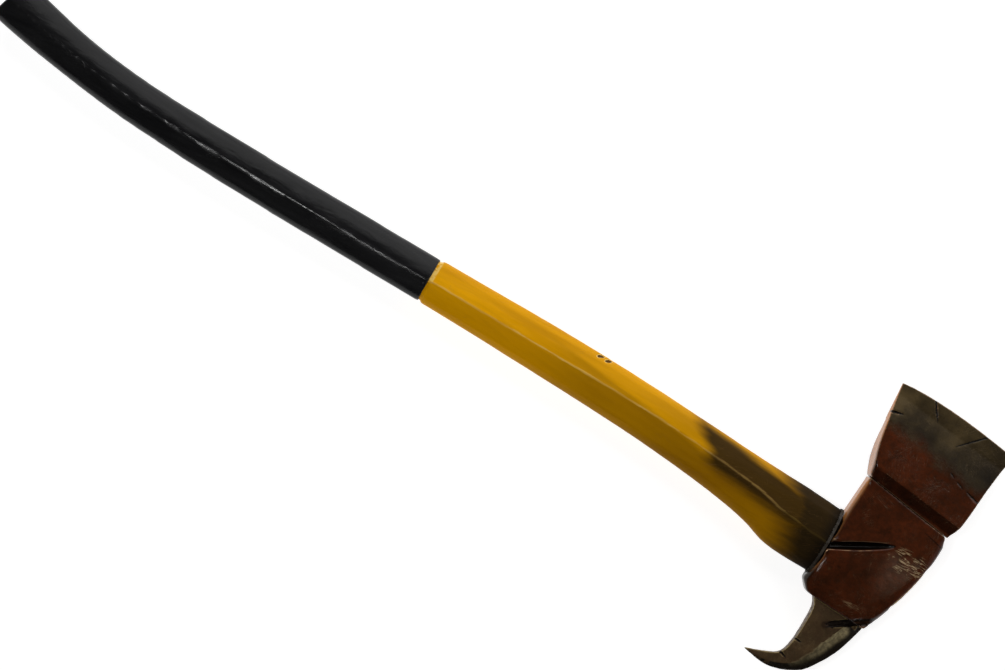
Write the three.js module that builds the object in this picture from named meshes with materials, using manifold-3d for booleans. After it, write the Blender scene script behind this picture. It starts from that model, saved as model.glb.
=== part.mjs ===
// Pick-head fire axe: a steel head on a curved, painted wooden handle with a rubber grip sleeve.
// Millimetres. The axe lies on its side: X runs along the handle towards the crown of the head,
// Y points towards the cutting edge and Z is up, through the cheeks. The drawing origin is the
// middle of the eye; the last lines move the whole axe so that it stands on Z = 0, centred.

import * as THREE from "three";
import { mergeVertices } from "three/addons/utils/BufferGeometryUtils.js";
import { ConvexGeometry } from "three/addons/geometries/ConvexGeometry.js";
import Module from "manifold-3d";

const wasm = await Module();
wasm.setup();

// Driving dimensions.

const clearance = 0.3; // between two pieces that touch

const eye = {
  halfLength: 23, // along Y, at the handle end
  halfWidth: 8.6, // along Z, at the handle end
  flare: 1.6, // how much both grow towards the crown
};

const handle = {
  shoulder: 6, // how far the shoulder stands out beyond the eye, along Y
  length: 803, // shoulder to butt
  halfThick: 14, // through the cheeks, along most of the handle
  shoulderHalfThick: 14.4,
  buttSlant: 0.42, // how far the butt leans, along X per unit of Y
  buttRound: 5, // rounding of the butt's rim
  slices: 56,
};

// The handle's line, from the shoulder to the butt: share of the length, centre, half width and how
// far the ridge stands off the centre.
const shoulderHalfWidth = eye.halfLength + handle.shoulder;
const handleLine = [
  [0.0, -0.9, shoulderHalfWidth, -0.5],
  [0.037, 0.3, shoulderHalfWidth + 0.8, 1.0],
  [0.06, 1.8, shoulderHalfWidth, 2.0],
  [0.08, 4.9, 26.6, 2.8],
  [0.105, 7.6, 24.8, 3.0],
  [0.155, 11.5, 23.2, 3.0],
  [0.229, 15.8, 22.2, 2.4],
  [0.329, 18.8, 21.7, 0.8],
  [0.454, 20.4, 20.2, 0.0],
  [0.603, 21.4, 19.8, 0.0],
  [0.728, 23.0, 19.6, 0.0],
  [0.803, 25.1, 19.1, 0.0],
  [0.853, 27.6, 18.9, 0.0],
  [0.903, 32.3, 19.0, 0.0],
  [0.953, 39.2, 19.4, 0.0],
  [1.0, 47.3, 19.6, 0.0],
];

const sleeve = {
  length: 414, // measured from the butt
  wall: 1.6,
  endWall: 3,
};

const body = {
  handleFace: -33.5, // X of the face over the shoulder
  cheekWall: 7.5, // steel beside the eye, at the ridge of each cheek
  rimHalfThick: 9.5, // where it takes the bit
  ridgeFall: 1.5, // how much the ridge drops towards the crown
  sideHalfThick: 13,
  lowHalfThick: 12.5, // at the foot of the lower cheek
  footMargin: 1.6, // flat left beside the pick on the underside
  crownRadius: 217,
  creaseDepth: 5.8,
  creaseHalfWidth: 5.2, // at the handle end
};

const bit = {
  edgeHalfThick: 0.6,
  honeDepth: 9, // ground part of the cutting edge
  honeHalfThick: 2.2,
  rootHalfThick: 15.5,
  stepHeight: 9.5, // from the rim of the body up to the root, along Y
  lean: -0.12, // slope of the edge and of the root
  tenonHalfThick: 4,
  tenonLength: 16, // how far the tenon goes into the body
  tenonHalfWidth: 36,
};

const pick = {
  halfThick: 6.4, // flat cheeks, at the root
  tipHalfThick: 0.7,
  backHalfThick: 0.8, // along the ground convex side
  flatShare: 0.58, // share of the width that stays flat
  rootFlatShare: 0.8, // the same at the root, where the bevel starts
  bevelRun: 0.35, // share of the length over which the bevel widens
  tangHalfThick: 3.6,
  tangHalfWidth: 18.5,
  tangLength: 13,
};

const ridgeHalfThick = eye.halfWidth + body.cheekWall;
const footHalfThick = pick.halfThick + body.footMargin;
const shoulderX = body.handleFace - clearance;

const kerf = { depth: 44, halfOpening: 3.2, halfRoot: 0.7 };
const steelWedge = {
  depth: 24,
  halfThick: 1.5,
  halfPoint: 0.35,
  halfWidth: 6.4,
  spacing: 11.5, // from the middle of the eye
  turn: 0.35, // radians out of the plane across the kerf
};
const bead = { halfWidth: 1.9, height: 0.9 }; // sealant round the shoulder

// Outlines, in the plane of the tool.

// The crown of the head, from the bit side to the foot of the body, is one shallow arc.
const crownTop = new THREE.Vector2(51, 42.5);
const crownFoot = new THREE.Vector2(27, -48);

// The body seen from the side: the corners of its cheeks and of its edges.
const rimNearHandle = new THREE.Vector2(-31, 63.5);
const rimNearCrown = new THREE.Vector2(47.5, 51.5);
const bodyToe = new THREE.Vector2(-37, -36);
const cheekToe = new THREE.Vector2(-33, -31);
const cheekFoot = new THREE.Vector2(16, -40);
const footToe = new THREE.Vector2(-29, -44.8);

// The bit, from the neck's handle side round the edge to the neck's crown side.
const toe = new THREE.Vector2(-45.4, 144.2);
const heel = new THREE.Vector2(64.8, 136.7);
const bitHandleSide = [
  new THREE.Vector2(-31, 60),
  new THREE.Vector2(-34.3, 72),
  new THREE.Vector2(-39, 90),
  new THREE.Vector2(-42.6, 118),
  toe,
];
const bitCrownSide = [
  heel,
  new THREE.Vector2(59.3, 108),
  new THREE.Vector2(55.3, 78),
  new THREE.Vector2(52.2, 62),
  new THREE.Vector2(48, 50),
];
const edgeBow = new THREE.Vector2(0, 144.6); // the cutting edge bows out to here

// The pick, from the root to the tip along its hooked side and along its back.
const tip = new THREE.Vector2(-49, -110);
const hookSide = [
  new THREE.Vector2(-24, -43),
  new THREE.Vector2(-17.6, -52),
  new THREE.Vector2(-16.9, -72),
  new THREE.Vector2(-18.2, -88),
  new THREE.Vector2(-22.5, -98.6),
  new THREE.Vector2(-34, -104.6),
  tip,
];
const backSide = [
  new THREE.Vector2(28.5, -43),
  new THREE.Vector2(25.8, -56),
  new THREE.Vector2(20, -74),
  new THREE.Vector2(11.5, -90),
  new THREE.Vector2(-1, -105),
  new THREE.Vector2(-25, -114),
  tip.clone().add(new THREE.Vector2(0.6, -0.9)),
];

// Geometry helpers.

// A closed geometry as a manifold-3d solid, and back.
function solid(geometry) {
  const plain = geometry.clone();
  plain.deleteAttribute("normal");
  plain.deleteAttribute("uv");
  const merged = mergeVertices(plain, 1e-4);
  return new wasm.Manifold(
    new wasm.Mesh({
      numProp: 3,
      vertProperties: new Float32Array(merged.attributes.position.array),
      triVerts: new Uint32Array(merged.index.array),
    }),
  );
}

function geometryOf(shape) {
  const mesh = shape.getMesh();
  const geometry = new THREE.BufferGeometry();
  geometry.setAttribute("position", new THREE.BufferAttribute(mesh.vertProperties, 3));
  geometry.setIndex(new THREE.BufferAttribute(mesh.triVerts, 1));
  geometry.computeVertexNormals();
  return geometry;
}

// A solid through rings of equal point count. Rings follow one another along +X and each starts at
// +Z and goes round by +Y.
function loft(rings) {
  const sides = rings[0].length;
  const steps = rings.length - 1;
  const tube = new THREE.CylinderGeometry(1, 1, 2, sides, steps);
  const at = tube.attributes.position;
  for (let i = 0; i < at.count; i++) {
    const ring = rings[Math.round(((1 - at.getY(i)) / 2) * steps)];
    const turn = Math.atan2(at.getX(i), at.getZ(i)) / (2 * Math.PI);
    const onAxis = Math.hypot(at.getX(i), at.getZ(i)) < 0.5;
    const point = onAxis ? middleOf(ring) : ring[Math.round((turn + 1) * sides) % sides];
    at.setXYZ(i, point.x, point.y, point.z);
  }
  return solid(tube);
}

function middleOf(ring) {
  const sum = ring.reduce((total, point) => total.add(point), new THREE.Vector3());
  return sum.divideScalar(ring.length);
}

// A flat outline in X and Y, made halfThick thick on each side of the middle plane.
function slab(points, halfThick) {
  const geometry = new THREE.ExtrudeGeometry(new THREE.Shape(points), {
    depth: 2 * halfThick,
    bevelEnabled: false,
  });
  return solid(geometry.translate(0, 0, -halfThick));
}

// A profile of [y, half thickness] stations, run along X and leaning by a slope.
function thicknessProfile(stations, lean) {
  const upper = stations.map(([y, z]) => new THREE.Vector2(y, z));
  const lower = stations.map(([y, z]) => new THREE.Vector2(y, -z)).reverse();
  const reach = 120;
  const geometry = new THREE.ExtrudeGeometry(new THREE.Shape([...upper, ...lower]), {
    depth: 2 * reach,
    bevelEnabled: false,
  });
  geometry.applyMatrix4(new THREE.Matrix4().set(
    0, 0, 1, -reach,
    1, 0, lean, -reach * lean,
    0, 1, 0, 0,
    0, 0, 0, 1,
  ));
  return solid(geometry);
}

function block(centre, size) {
  return solid(new THREE.BoxGeometry(...size).translate(...centre));
}

// A wedge whose wide end is at the crown: thick along Y or Z, and pointed towards the handle.
function wedge({ tipX, endX, halfPoint, halfEnd, halfAcross }) {
  const outline = [
    new THREE.Vector2(tipX, -halfPoint),
    new THREE.Vector2(endX, -halfEnd),
    new THREE.Vector2(endX, halfEnd),
    new THREE.Vector2(tipX, halfPoint),
  ];
  return slab(outline, halfAcross);
}

function curve(points, count) {
  return new THREE.SplineCurve(points).getPoints(count);
}

function arcBetween(from, to, radius, count) {
  const half = from.distanceTo(to) / 2;
  const along = to.clone().sub(from).normalize();
  const out = new THREE.Vector2(-along.y, along.x); // to the left of the way from one to the other
  const middle = from.clone().add(to).divideScalar(2);
  const centre = middle.addScaledVector(out, -Math.sqrt(radius ** 2 - half ** 2));
  const sweep = Math.asin(half / radius);
  return Array.from({ length: count + 1 }, (_, i) => {
    const turn = sweep * (1 - (2 * i) / count);
    return centre.clone()
      .addScaledVector(out, radius * Math.cos(turn))
      .addScaledVector(along, -radius * Math.sin(turn));
  });
}

// Handle.

const line = new THREE.CatmullRomCurve3(
  handleLine.map(([share, centre, , ridge]) => new THREE.Vector3(share, centre, ridge)),
  false, "catmullrom",
);
const widths = new THREE.CatmullRomCurve3(
  handleLine.map(([share, , halfWidth]) => new THREE.Vector3(share, halfWidth, 0)),
  false, "catmullrom",
);

// A quarter of the handle's section, as shares of its half width and half thickness: a flat facet
// from the ridge outwards, then a round edge.
const quarter = [
  [0, 1],
  [0.38, 0.83],
  [0.74, 0.62],
  [0.9, 0.36],
  [0.98, 0.18],
];
const half = [
  ...quarter,
  [1, 0],
  ...quarter.slice(1).reverse().map(([across, up]) => [across, -up]),
  [0, -1],
];
const section = [...half, ...half.slice(1, -1).reverse().map(([across, up]) => [-across, up])];

// The handle's ring at a share of its length, drawn in by inset. slant leans the ring along X.
function handleRing(share, inset, slant = 0, shiftX = 0) {
  const t = parameterAt(share);
  const { y: centre, z: ridge } = line.getPoint(t);
  const halfWidth = widths.getPoint(t).y - inset;
  const swell = Math.max(0, 1 - share / 0.1);
  const halfThick = THREE.MathUtils.lerp(handle.halfThick, handle.shoulderHalfThick, swell) - inset;
  const x = shoulderX - share * handle.length + shiftX;
  return section.map(([across, up]) => {
    const y = halfWidth * across + ridge * (1 - Math.abs(across));
    return new THREE.Vector3(x + slant * y, centre + y, halfThick * up);
  });
}

// Where the curves reach a share of the length.
function parameterAt(share) {
  let low = 0;
  let high = 1;
  for (let i = 0; i < 30; i++) {
    const middle = (low + high) / 2;
    if (line.getPoint(middle).x < share) low = middle;
    else high = middle;
  }
  return (low + high) / 2;
}

// Rings from one share of the handle to another, both counted from the shoulder.
function handleRings(fromShare, toShare, inset, count) {
  return Array.from({ length: count + 1 }, (_, i) => {
    const share = THREE.MathUtils.lerp(fromShare, toShare, i / count);
    const nearButt = THREE.MathUtils.smoothstep(share, 0.9, 1);
    return handleRing(share, inset, handle.buttSlant * nearButt);
  });
}

// The rounded butt: two more rings, each smaller and further out.
function buttRings(inset) {
  return [0.8, 0.3].map((across) => {
    const drop = handle.buttRound * (1 - Math.sqrt(1 - (1 - across) ** 2));
    return handleRing(1, inset + drop, handle.buttSlant, -handle.buttRound * (1 - across) + inset);
  }).reverse();
}

const gripShare = 1 - sleeve.length / handle.length;

function gripOuter() {
  const rings = handleRings(1, gripShare, 0, 30);
  return loft([...buttRings(0), ...rings]);
}

function gripHollow(extra) {
  const inset = sleeve.wall + extra;
  const first = 1 - (sleeve.endWall + extra + handle.buttRound) / handle.length;
  return loft(handleRings(first, gripShare, inset, 30));
}

// Eye, shared by the body and the handle's tongue.

function eyeRing(x, grow) {
  const reach = crownTop.x - body.handleFace;
  const share = THREE.MathUtils.clamp((x - body.handleFace) / reach, -0.2, 1.2);
  const halfWidth = eye.halfWidth + eye.flare * share + grow;
  const halfLength = eye.halfLength + eye.flare * share + grow;
  return section.map((_, i) => {
    const turn = (2 * Math.PI * i) / section.length;
    const side = Math.sign(Math.round(Math.sin(turn) * 1e6));
    return new THREE.Vector3(
      x,
      side * (halfLength - halfWidth) + halfWidth * Math.sin(turn),
      halfWidth * Math.cos(turn),
    );
  });
}

// Everything on the handle's side of the crown, drawn back by inset.
function behindCrown(inset) {
  const arc = arcBetween(crownTop, crownFoot, body.crownRadius, 12)
    .map((p) => new THREE.Vector2(p.x - inset, p.y));
  const above = new THREE.Vector2(arc[0].x, 80);
  const below = new THREE.Vector2(arc.at(-1).x, -80);
  const farBelow = new THREE.Vector2(-1200, -80);
  const farAbove = new THREE.Vector2(-1200, 80);
  return slab([...arc, below, farBelow, farAbove, above].reverse(), 60);
}

// Pieces.

function makeBody() {
  const corner = (p, halfThick) => [1, -1].map((side) => new THREE.Vector3(p.x, p.y, side * halfThick));
  const arc = arcBetween(crownTop, crownFoot, body.crownRadius, 6);
  const crownHalfThick = [10, 12.5, 13, 12.5, 11.5, 10, footHalfThick];
  const hull = new ConvexGeometry([
    ...corner(rimNearHandle, body.rimHalfThick - 1),
    ...corner(rimNearCrown, body.rimHalfThick),
    ...corner(new THREE.Vector2(body.handleFace, 30), 12.5),
    ...corner(new THREE.Vector2(body.handleFace, 1), ridgeHalfThick),
    ...corner(new THREE.Vector2(8, 19), ridgeHalfThick),
    ...corner(new THREE.Vector2(44, 27), ridgeHalfThick - body.ridgeFall),
    ...corner(new THREE.Vector2(body.handleFace - 1.5, -30), body.sideHalfThick),
    ...corner(cheekToe, body.lowHalfThick),
    ...corner(cheekFoot, body.lowHalfThick),
    ...corner(bodyToe, 8),
    ...corner(footToe, footHalfThick),
    ...arc.flatMap((p, i) => corner(p, crownHalfThick[i])),
  ]);
  const opening = loft([eyeRing(body.handleFace - 8, 0), eyeRing(crownTop.x + 4, 0)]);
  return solid(hull)
    .subtract(opening)
    .subtract(tenon(clearance))
    .subtract(tang(clearance))
    .subtract(crease())
    .subtract(shoulderRoom());
}

// Room for the shoulder and its bead, where the toe of the body reaches under them.
function shoulderRoom() {
  const grow = bead.height + 2 * clearance;
  return loft([body.handleFace - 12, body.handleFace].map((x) => (
    handleRing(0, -grow).map((p) => new THREE.Vector3(x, p.y, p.z))
  )));
}

// A crease in each cheek, deepest at the handle, where the upper facet tucks under the lower one.
function crease() {
  const outer = ridgeHalfThick + 3;
  const cuts = [1, -1].map((side) => {
    const floor = side * (ridgeHalfThick - body.creaseDepth);
    const wide = body.creaseHalfWidth;
    return solid(new ConvexGeometry([
      new THREE.Vector3(body.handleFace - 6, -3.5, floor),
      new THREE.Vector3(body.handleFace - 6, wide - 3.5, side * outer),
      new THREE.Vector3(body.handleFace - 6, -wide - 3.5, side * outer),
      new THREE.Vector3(-12, 9, floor),
      new THREE.Vector3(11, 21.5, side * (ridgeHalfThick - 0.5)),
      new THREE.Vector3(11, 23, side * outer),
      new THREE.Vector3(11, 20, side * outer),
    ]));
  });
  return cuts[0].add(cuts[1]);
}

function tenon(grow) {
  const middle = (rimNearHandle.x + rimNearCrown.x) / 2;
  const rim = (rimNearHandle.y + rimNearCrown.y) / 2;
  const foot = rim - bit.tenonLength - grow;
  const top = rim + 8;
  return block(
    [middle, (foot + top) / 2, 0],
    [2 * (bit.tenonHalfWidth + grow), top - foot, 2 * (bit.tenonHalfThick + grow)],
  );
}

function tang(grow) {
  const top = footToe.y + pick.tangLength + grow;
  const foot = footToe.y - 8;
  return block(
    [4.5, (foot + top) / 2, 0],
    [2 * (pick.tangHalfWidth + grow), top - foot, 2 * (pick.tangHalfThick + grow)],
  );
}

// Everything on the bit's side of the body's rim, a clearance away from it.
function aboveRim() {
  const lift = clearance;
  const slope = (rimNearCrown.y - rimNearHandle.y) / (rimNearCrown.x - rimNearHandle.x);
  const at = (x) => rimNearHandle.y + slope * (x - rimNearHandle.x) + lift;
  return slab([
    new THREE.Vector2(-90, at(-90)), new THREE.Vector2(90, at(90)),
    new THREE.Vector2(90, 200), new THREE.Vector2(-90, 200),
  ], 60);
}

function makeBit() {
  const chordMiddle = toe.clone().add(heel).divideScalar(2);
  const pull = edgeBow.clone().multiplyScalar(2).sub(chordMiddle);
  const edge = new THREE.QuadraticBezierCurve(toe, pull, heel);
  const outline = [
    ...curve(bitHandleSide, 12),
    ...edge.getPoints(8).slice(1, -1),
    ...curve(bitCrownSide, 12),
  ].reverse();
  const rim = rimNearHandle.y - bit.lean * rimNearHandle.x;
  const edgeLine = toe.y - bit.lean * toe.x;
  const blade = thicknessProfile([
    [rim - 12, body.rimHalfThick], [rim, body.rimHalfThick], [rim + bit.stepHeight, bit.rootHalfThick],
    [edgeLine - bit.honeDepth, bit.honeHalfThick], [edgeLine + 12, bit.edgeHalfThick],
  ], bit.lean);
  return slab(outline, 40).intersect(blade).intersect(aboveRim()).add(tenon(0));
}

function makePick() {
  const count = 22;
  const hook = curve(hookSide, count);
  const back = curve(backSide, count);
  const rings = hook.map((inner, i) => {
    const share = i / count;
    const thin = share ** 1.6;
    const flat = THREE.MathUtils.lerp(pick.halfThick, pick.tipHalfThick, thin);
    const edge = THREE.MathUtils.lerp(pick.backHalfThick, pick.tipHalfThick / 2, thin);
    const bevelled = Math.min(1, share / pick.bevelRun);
    const flatEnd = THREE.MathUtils.lerp(pick.rootFlatShare, pick.flatShare, bevelled);
    const across = back[i].clone().sub(inner);
    return [
      [0, -flat], [0, flat], [flatEnd, flat], [1, edge], [1, -edge], [flatEnd, -flat],
    ].map(([a, up]) => new THREE.Vector3(inner.x + across.x * a, inner.y + across.y * a, up));
  });
  const claw = loft(rings);
  return claw.subtract(aboveFoot(clearance)).add(tang(0));
}

// Everything above the flat foot of the body, grown by a clearance, to seat the pick.
function aboveFoot(grow) {
  const slope = (crownFoot.y - footToe.y) / (crownFoot.x - footToe.x);
  const at = (x) => footToe.y + slope * (x - footToe.x) - grow;
  return slab([
    new THREE.Vector2(-80, at(-80)), new THREE.Vector2(80, at(80)),
    new THREE.Vector2(80, 60), new THREE.Vector2(-80, 60),
  ], 60);
}

function kerfCut(grow) {
  const end = crownTop.x + 8;
  const tipX = kerfTip() - grow;
  return wedge({
    tipX, endX: end, halfPoint: kerf.halfRoot + grow, halfEnd: kerf.halfOpening + grow, halfAcross: 60,
  }).rotate([90, 0, 0]);
}

function kerfTip() {
  const crownAtAxis = arcBetween(crownTop, crownFoot, body.crownRadius, 12)[6].x;
  return crownAtAxis - kerf.depth;
}

function steelWedgeShape(side, grow) {
  const end = crownTop.x + 8;
  const crownHere = arcBetween(crownTop, crownFoot, body.crownRadius, 12)[side > 0 ? 4 : 7].x;
  return wedge({
    tipX: crownHere - steelWedge.depth - grow,
    endX: end,
    halfPoint: steelWedge.halfPoint + grow,
    halfEnd: steelWedge.halfThick + grow,
    halfAcross: steelWedge.halfWidth + grow,
  })
    .rotate([THREE.MathUtils.radToDeg(side * steelWedge.turn), 0, 0])
    .translate([0, side * steelWedge.spacing, 0]);
}

const tongueInset = 1; // the tongue ends this far inside the crown

function makeHandle() {
  const full = handleRings(gripShare, 0, 0, handle.slices);
  const covered = handleRings(
    1 - (sleeve.endWall + 2 * clearance + handle.buttRound) / handle.length,
    gripShare, sleeve.wall + clearance, 30,
  );
  const tongue = [shoulderX, crownTop.x + 3].map((x) => eyeRing(x, -clearance));
  const turned = loft([...covered, ...full, ...tongue]);
  return turned
    .intersect(behindCrown(tongueInset))
    .subtract(kerfCut(0))
    .subtract(steelWedgeShape(1, clearance))
    .subtract(steelWedgeShape(-1, clearance));
}

function makeKerfWedge() {
  const across = eye.halfLength - 1.2;
  return kerfCut(-clearance)
    .intersect(block([0, 0, 0], [400, 2 * across, 60]))
    .intersect(behindCrown(tongueInset))
    .subtract(steelWedgeShape(1, clearance))
    .subtract(steelWedgeShape(-1, clearance));
}

function makeSteelWedge(side) {
  return steelWedgeShape(side, 0).intersect(behindCrown(tongueInset - 0.4));
}

function makeSleeve() {
  const gap = 1.2; // the front lip stops short of the paint
  const front = shoulderX - gripShare * handle.length - clearance;
  const past = block([front + 200, 20, 0], [400, 200, 200]);
  const hollow = gripHollow(0).add(
    loft([handleRing(gripShare, sleeve.wall), handleRing(gripShare - gap / 100, sleeve.wall)]),
  );
  return gripOuter().subtract(hollow).subtract(past);
}

// The handle's section at a place along X, grown outwards.
function sectionAt(x, grow) {
  const share = Math.max(0, (shoulderX - x) / handle.length);
  return handleRing(share, -grow).map((p) => new THREE.Vector3(x, p.y, p.z));
}

// A bead of sealant round the shoulder, against the head.
function makeBead() {
  const end = body.handleFace - clearance;
  const outer = loft([
    sectionAt(end - 2 * bead.halfWidth, 1.6 * clearance),
    sectionAt(end - bead.halfWidth, bead.height + clearance),
    sectionAt(end, 0.8 * bead.height + clearance),
  ]);
  const inner = [end - 2 * bead.halfWidth - 1, shoulderX, end + 1].map((x) => sectionAt(x, clearance));
  return outer.subtract(loft(inner));
}

// The axe.

const finishes = {
  redSteel: new THREE.MeshStandardMaterial({ color: 0x4a1d12, roughness: 0.38, metalness: 0.25 }),
  bareSteel: new THREE.MeshStandardMaterial({ color: 0x3d3525, roughness: 0.45, metalness: 0.6 }),
  yellowPaint: new THREE.MeshStandardMaterial({ color: 0xc28a00, roughness: 0.4, metalness: 0 }),
  blackRubber: new THREE.MeshStandardMaterial({ color: 0x1c1c1c, roughness: 0.45, metalness: 0 }),
  paleWood: new THREE.MeshStandardMaterial({ color: 0xb98d54, roughness: 0.7, metalness: 0 }),
  greySteel: new THREE.MeshStandardMaterial({ color: 0x6a6a68, roughness: 0.4, metalness: 0.9 }),
  sealant: new THREE.MeshStandardMaterial({ color: 0x3b3526, roughness: 0.6, metalness: 0 }),
};

function piece(name, shape, finish) {
  const mesh = new THREE.Mesh(geometryOf(shape), finishes[finish]);
  mesh.name = name;
  return mesh;
}

const head = new THREE.Group();
head.add(
  piece("eye_body", makeBody(), "redSteel"),
  piece("bit", makeBit(), "redSteel"),
  piece("pick", makePick(), "bareSteel"),
);

const haft = new THREE.Group();
haft.add(
  piece("handle", makeHandle(), "yellowPaint"),
  piece("grip_sleeve", makeSleeve(), "blackRubber"),
  piece("kerf_wedge", makeKerfWedge(), "paleWood"),
  piece("steel_wedge_upper", makeSteelWedge(1), "greySteel"),
  piece("steel_wedge_lower", makeSteelWedge(-1), "greySteel"),
  piece("seal_bead", makeBead(), "sealant"),
);

const axe = new THREE.Group();
axe.add(head, haft);

// Stand the axe on Z = 0, centred over the origin.
const extent = new THREE.Box3().setFromObject(axe);
const middle = extent.getCenter(new THREE.Vector3());
axe.position.set(-middle.x, -middle.y, -extent.min.z);

const part = new THREE.Group();
part.add(axe);
export default part;
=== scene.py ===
from math import radians

import bpy
import numpy as np
from mathutils import Matrix, Vector
from mathutils.bvhtree import BVHTree


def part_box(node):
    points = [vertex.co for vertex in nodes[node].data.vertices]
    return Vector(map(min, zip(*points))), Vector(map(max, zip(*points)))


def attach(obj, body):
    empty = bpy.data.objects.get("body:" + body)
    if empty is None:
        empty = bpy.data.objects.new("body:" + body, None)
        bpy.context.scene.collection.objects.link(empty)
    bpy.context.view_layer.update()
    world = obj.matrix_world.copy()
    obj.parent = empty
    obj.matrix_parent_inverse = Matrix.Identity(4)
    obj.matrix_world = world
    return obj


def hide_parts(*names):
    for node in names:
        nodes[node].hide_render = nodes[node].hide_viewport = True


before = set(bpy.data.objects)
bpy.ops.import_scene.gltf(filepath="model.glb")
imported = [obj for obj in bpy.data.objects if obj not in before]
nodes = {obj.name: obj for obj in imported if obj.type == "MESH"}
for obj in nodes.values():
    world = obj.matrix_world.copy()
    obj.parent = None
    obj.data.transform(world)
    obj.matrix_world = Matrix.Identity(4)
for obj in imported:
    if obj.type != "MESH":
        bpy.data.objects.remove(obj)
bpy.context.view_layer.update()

mm = 0.001

# The head is drawn round the middle of its eye, in millimetres.
eyeLow, eyeHigh = (Vector(corner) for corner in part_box("eye_body"))
eyeCentre = Vector((eyeHigh.x - 51 * mm, eyeHigh.y - 63.5 * mm, (eyeLow.z + eyeHigh.z) / 2))


def at(x, y, z=0.0):
    return eyeCentre + Vector((x, y, z)) * mm


# Working on a mesh.

def pickOnly(thing):
    bpy.ops.object.select_all(action="DESELECT")
    thing.select_set(True)
    bpy.context.view_layer.objects.active = thing


def selectVerts(thing, wanted):
    mesh = thing.data
    bpy.ops.object.mode_set(mode="EDIT")
    bpy.ops.mesh.select_mode(type="VERT")
    bpy.ops.mesh.select_all(action="DESELECT")
    bpy.ops.object.mode_set(mode="OBJECT")
    mesh.vertices.foreach_set("select", [wanted(v.co) for v in mesh.vertices])
    bpy.ops.object.mode_set(mode="EDIT")


def applyModifier(thing, kind, **values):
    pickOnly(thing)
    modifier = thing.modifiers.new(kind.lower(), kind)
    for key, value in values.items():
        setattr(modifier, key, value)
    bpy.ops.object.modifier_apply(modifier=modifier.name)


def workCopy(node, name):
    # a merged copy of the CAD solid, to be worked on
    piece = bpy.data.objects.new(name, nodes[node].data.copy())
    bpy.context.collection.objects.link(piece)
    piece.data.materials.clear()
    pickOnly(piece)
    bpy.ops.object.mode_set(mode="EDIT")
    bpy.ops.mesh.select_all(action="SELECT")
    bpy.ops.mesh.remove_doubles(threshold=1e-6)
    bpy.ops.object.mode_set(mode="OBJECT")
    return piece


def besideLine(co, first, last):
    # how far a place lies to the left of a line on the drawing, in millimetres
    start, end = at(*first), at(*last)
    along = (end - start).normalized()
    return (along.x * (co.y - start.y) - along.y * (co.x - start.x)) / mm


def reach(piece, wanted, offset):
    # closes the hair gap that the CAD leaves between two pieces
    pickOnly(piece)
    selectVerts(piece, wanted)
    bpy.ops.transform.translate(value=Vector(offset) * mm)
    bpy.ops.object.mode_set(mode="OBJECT")


def gashTool(start, end, normal, halfWidth, depth, seed):
    # a long lens with ragged lips
    along = end - start
    bpy.ops.object.select_all(action="DESELECT")
    bpy.ops.mesh.primitive_uv_sphere_add(segments=8, ring_count=14, radius=1)
    tool = bpy.context.object
    bpy.ops.object.mode_set(mode="EDIT")
    bpy.ops.mesh.select_all(action="SELECT")
    bpy.ops.transform.resize(value=(depth * mm, halfWidth * mm, along.length / 2))
    ragged = min(halfWidth * 0.3, 0.25) * mm
    bpy.ops.transform.vertex_random(offset=ragged, uniform=0.0, normal=0.0, seed=seed)
    bpy.ops.object.mode_set(mode="OBJECT")
    zAxis = along.normalized()
    yAxis = zAxis.cross(normal).normalized()
    xAxis = yAxis.cross(zAxis)
    turn = Matrix((xAxis, yAxis, zAxis)).transposed().to_4x4()
    tool.data.transform(Matrix.Translation((start + end) / 2) @ turn)
    return tool


def cutGash(piece, start, end, side, halfWidth, depth, seed, level=None):
    # the skin is felt out along the cut, and the cut follows its slope, unless its level is given
    if level is not None:
        startPlace, endPlace = at(*start, side * level), at(*end, side * level)
        cutAway(piece, gashTool(startPlace, endPlace, Vector((0, 0, side)), halfWidth, depth, seed))
        return
    hits = []
    for step in range(9):
        share = step / 8
        above = at(*start, side * 60).lerp(at(*end, side * 60), share)
        hit, place, normal, _ = piece.ray_cast(above, Vector((0, 0, -side)))
        if hit:
            hits.append((share, place.z, normal))
    (firstShare, firstZ, firstNormal), (lastShare, lastZ, lastNormal) = hits[0], hits[-1]
    slope = (lastZ - firstZ) / max(lastShare - firstShare, 0.1)
    startPlace, endPlace = at(*start), at(*end)
    startPlace.z = firstZ - slope * firstShare
    endPlace.z = lastZ + slope * (1 - lastShare)
    cutAway(piece, gashTool(startPlace, endPlace, firstNormal + lastNormal, halfWidth, depth, seed))


def cutAway(piece, tool):
    applyModifier(piece, "BOOLEAN", object=tool, operation="DIFFERENCE", solver="MANIFOLD")
    bpy.data.objects.remove(tool)


def refine(piece, voxel, passes):
    applyModifier(piece, "REMESH", mode="VOXEL", voxel_size=voxel * mm, use_smooth_shade=True)
    soften(piece, lambda co: True, passes)


def soften(piece, wanted, passes):
    pickOnly(piece)
    selectVerts(piece, wanted)
    bpy.ops.mesh.vertices_smooth(factor=0.5, repeat=passes)
    bpy.ops.object.mode_set(mode="OBJECT")


def softenCorner(piece, spot, radius, passes):
    middle = at(*spot)
    soften(piece, lambda co: hypotXY(co, middle) < radius * mm, passes)


def swell(piece, spot, side, height, reach):
    # lifts the skin of one cheek in a broad, low dome
    pickOnly(piece)
    selectVerts(piece, lambda co: hypotXY(co, spot) < 2 * mm and (co.z - eyeCentre.z) * side > 4 * mm)
    bpy.ops.transform.translate(value=(0, 0, side * height * mm), use_proportional_edit=True,
                                proportional_edit_falloff="SMOOTH", proportional_size=reach * mm,
                                use_proportional_connected=True)
    bpy.ops.object.mode_set(mode="OBJECT")


def hypotXY(a, b):
    return ((a.x - b.x) ** 2 + (a.y - b.y) ** 2) ** 0.5


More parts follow.
